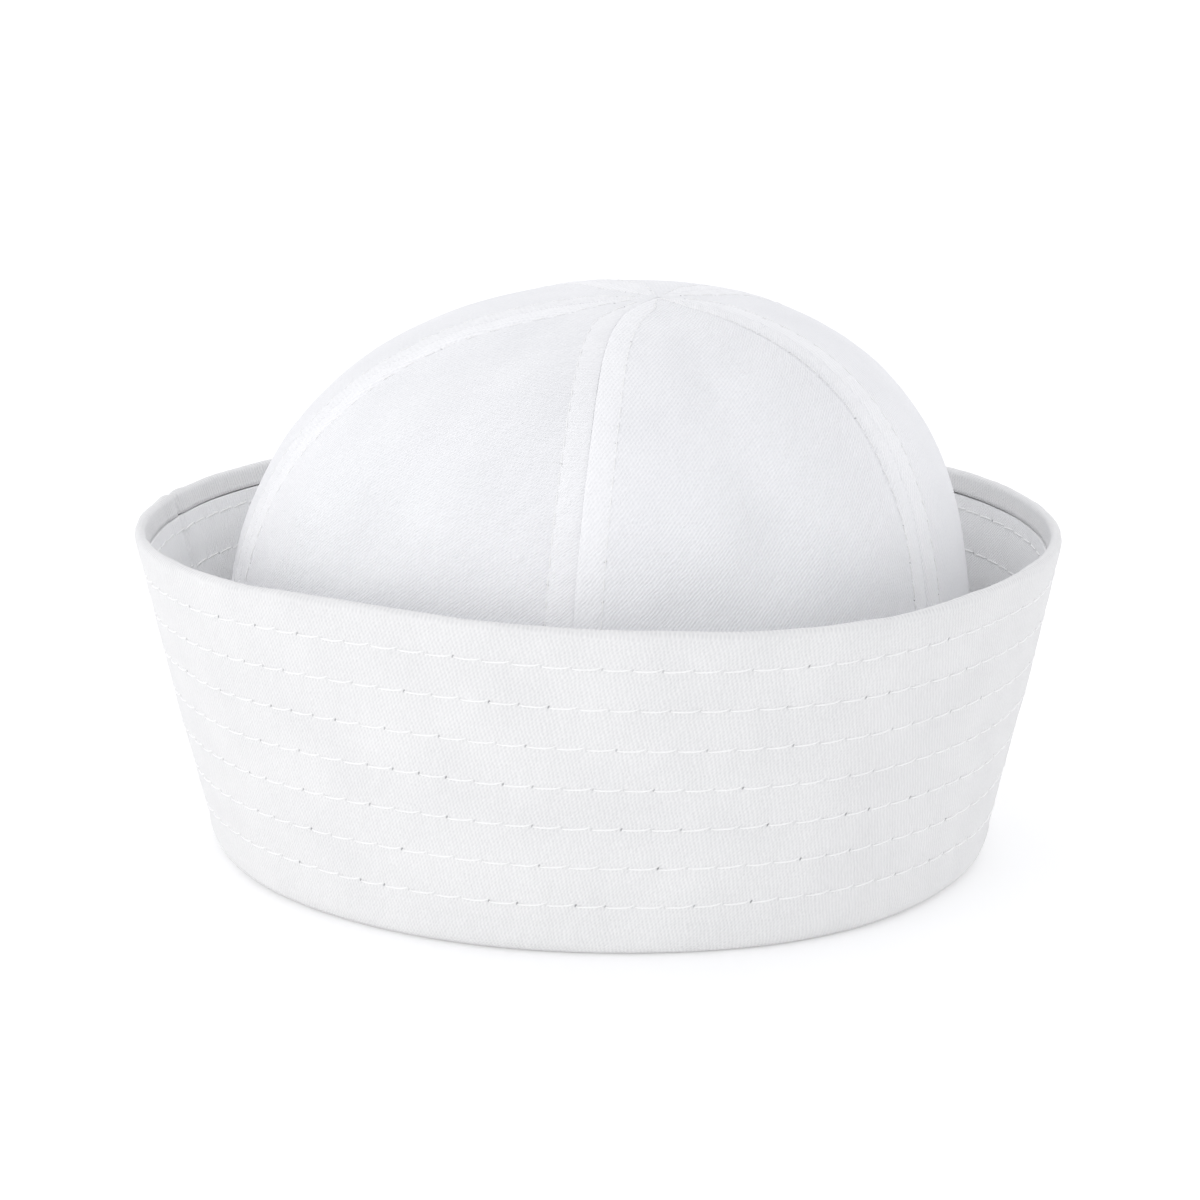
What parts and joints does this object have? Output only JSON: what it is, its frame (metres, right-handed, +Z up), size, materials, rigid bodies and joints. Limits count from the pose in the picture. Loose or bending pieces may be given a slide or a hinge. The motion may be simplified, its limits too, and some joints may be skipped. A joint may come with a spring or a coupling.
{
  "type": "sailor cap",
  "caption": "White cotton sailor cap with a domed crown of sewn gores and a high flared cuff, turned up all round and quilted with rows of stitching.",
  "frame": {"origin": "on the ground, under the middle of the cap's bounding box", "axes": "+Z up; -Y is the side seen as the front, +X to its right"},
  "size_m": [0.2278, 0.2224, 0.1382],
  "materials": {
    "cuff_twill": "matt white cotton twill, quilted with white thread",
    "facing_twill": "matt white cotton twill, inner side of the cuff",
    "crown_twill": "matt white cotton twill with topstitched seams"
  },
  "bodies": {
    "root": {"cuff_outer": "cuff_twill", "cuff_facing": "facing_twill", "crown_gore_front_right": "crown_twill", "crown_gore_right": "crown_twill", "crown_gore_back_right": "crown_twill", "crown_gore_back_left": "crown_twill", "crown_gore_front_left": "crown_twill"}
  },
  "joints": []
}
